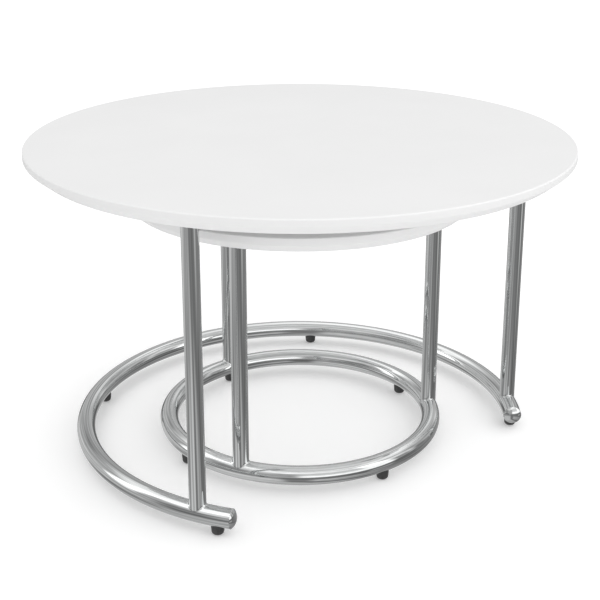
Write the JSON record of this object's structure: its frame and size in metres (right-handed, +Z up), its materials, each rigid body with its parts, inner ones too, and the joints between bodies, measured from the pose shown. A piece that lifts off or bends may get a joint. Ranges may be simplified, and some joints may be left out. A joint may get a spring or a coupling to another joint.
{
  "type": "nesting tables",
  "caption": "Round side tables that nest: the large one stands on a C-shaped tube, and the small one draws out through its opening on a closed ring base.",
  "frame": {"origin": "on the floor, under the middle of the large top; the small table stands on the same centre at rest", "axes": "+Z up; -Y towards the open front of the C-shaped base, the way the small table draws out; +X to the right when seen from behind the opening looking along +Y"},
  "size_m": [0.7499, 0.75, 0.44],
  "materials": {
    "tops": "satin white lacquer on board",
    "tubes": "polished stainless steel with fine streaks",
    "end_plugs": "polished",
    "plates": "brushed",
    "screws": "zinc plated",
    "feet": "matt black"
  },
  "bodies": {
    "large_table": {"large_top": "tops", "large_ring": "tubes", "large_leg_front_left": "tubes", "large_leg_front_right": "tubes", "large_leg_back": "tubes", "large_plate_front_left": "plates", "large_plate_front_right": "plates", "large_plate_back": "plates", "large_plate_screws": "screws", "large_end_plug_left": "end_plugs", "large_end_plug_right": "end_plugs", "large_foot_front_left": "feet", "large_foot_front_right": "feet", "large_foot_back_left": "feet", "large_foot_back_right": "feet"},
    "small_table": {"small_top": "tops", "small_ring": "tubes", "small_leg_front_left": "tubes", "small_leg_front_right": "tubes", "small_leg_back": "tubes", "small_plate_front_left": "plates", "small_plate_front_right": "plates", "small_plate_back": "plates", "small_plate_screws": "screws", "small_foot_front": "feet", "small_foot_right": "feet", "small_foot_back": "feet", "small_foot_left": "feet"}
  },
  "joints": [
    {"name": "small_table_slide", "type": "slide", "parent": "large_table", "child": "small_table", "axis": [0, -1, 0], "range_m": [-0.05, 0.65]}
  ]
}
